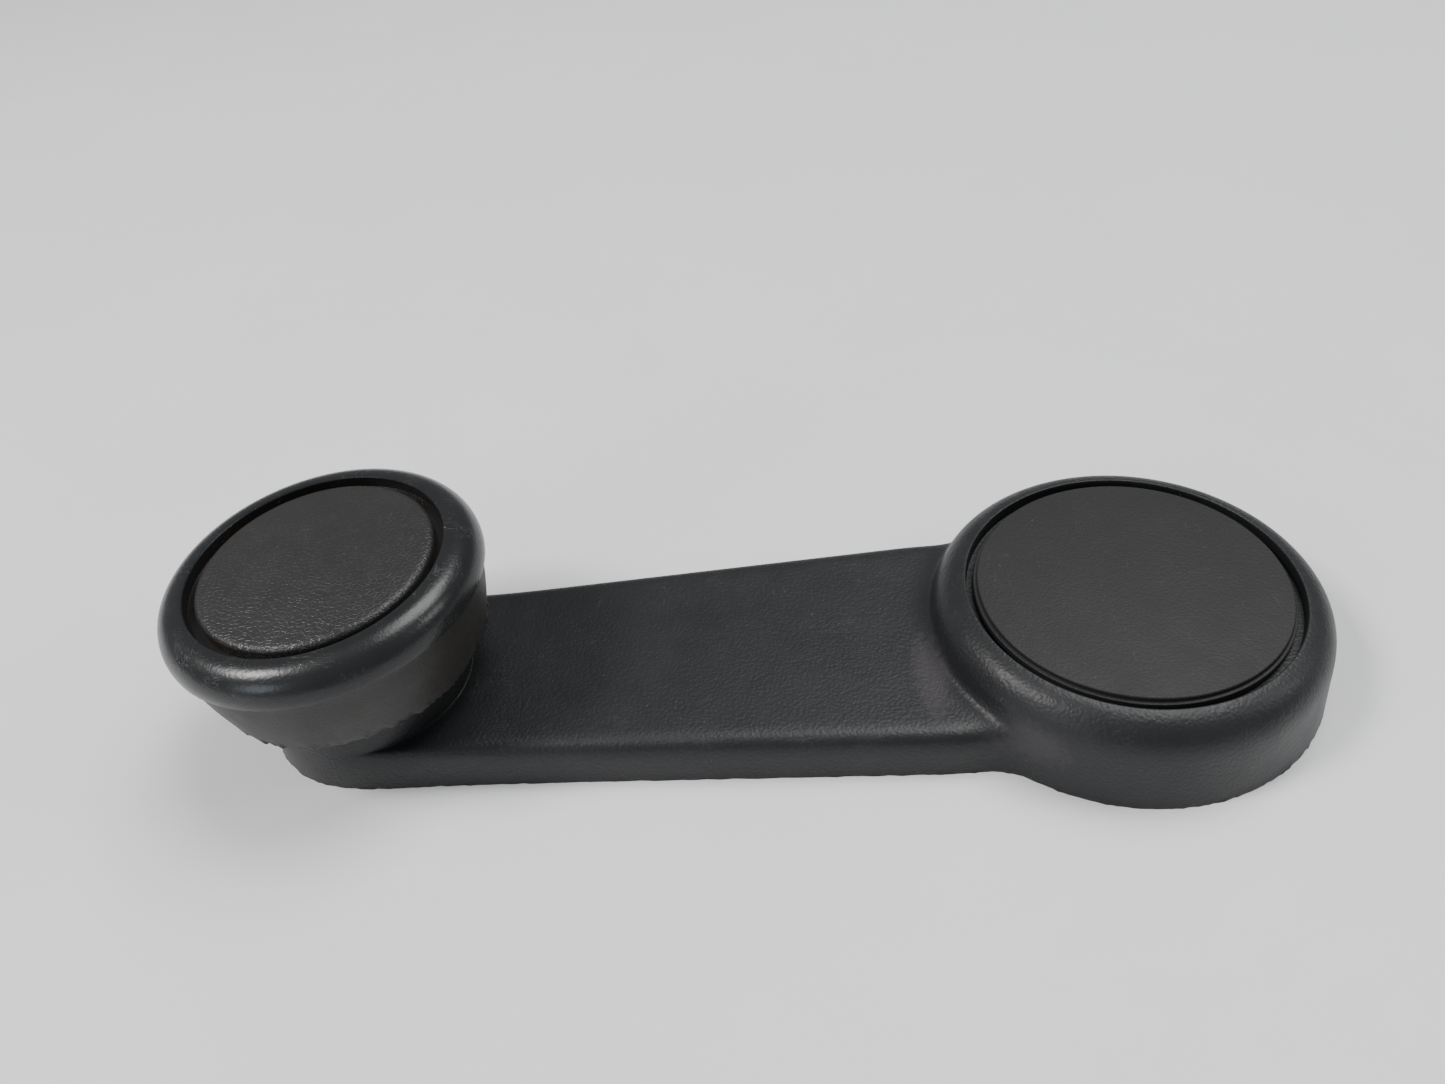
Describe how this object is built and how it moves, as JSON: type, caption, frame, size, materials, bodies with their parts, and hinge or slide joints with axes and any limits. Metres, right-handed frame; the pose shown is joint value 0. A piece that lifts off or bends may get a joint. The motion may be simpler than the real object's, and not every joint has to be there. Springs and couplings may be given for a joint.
{
  "type": "window crank",
  "caption": "Hand crank for a winding window: round hub with a lift-off cap, flat tapered arm, and a domed knob that turns freely on a slightly leaning pin.",
  "frame": {"origin": "on the spindle axis at the mouth of the spindle socket, in the plane of the hub's back face", "axes": "+Z along the spindle axis, out of the door trim towards the hand; the arm runs towards -X; +Y completes the frame"},
  "size_m": [0.1523, 0.053, 0.0292],
  "materials": {
    "arm_plastic": "fine-grained charcoal moulding, slightly bluish",
    "hub_cap_plastic": "fine-grained warm charcoal",
    "skirt_plastic": "matte brownish grey",
    "rim_plastic": "worn to a soft gloss",
    "knob_cap_plastic": "leather-grained charcoal",
    "bearing_plastic": "natural bearing plastic",
    "turned_steel": "turned steel",
    "zinc_steel": "zinc-plated pressed steel",
    "spring_steel": "dark spring steel"
  },
  "bodies": {
    "crank": {"arm_moulding": "arm_plastic", "arm_core": "zinc_steel", "spline_bush": "turned_steel", "plain_washer": "zinc_steel", "spring_washer": "spring_steel", "retaining_screw": "turned_steel", "knob_pin": "turned_steel", "knob_thrust_washer": "bearing_plastic", "knob_spring_washer": "spring_steel", "knob_flat_washer": "zinc_steel", "knob_retainer": "spring_steel"},
    "knob": {"knob_bush": "bearing_plastic", "knob_skirt": "skirt_plastic", "knob_rim": "rim_plastic", "knob_cap": "knob_cap_plastic"},
    "hub_cover": {"hub_cap": "hub_cap_plastic"}
  },
  "joints": [
    {"name": "knob_spin", "type": "hinge", "parent": "crank", "child": "knob", "pos_m": [-0.1042, 0, 0.0122], "axis": [-0.0523, 0, 0.9986], "continuous": true},
    {"name": "hub_cap_lift", "type": "slide", "parent": "crank", "child": "hub_cover", "axis": [0, 0, 1], "range_m": [0, 0.015]}
  ]
}
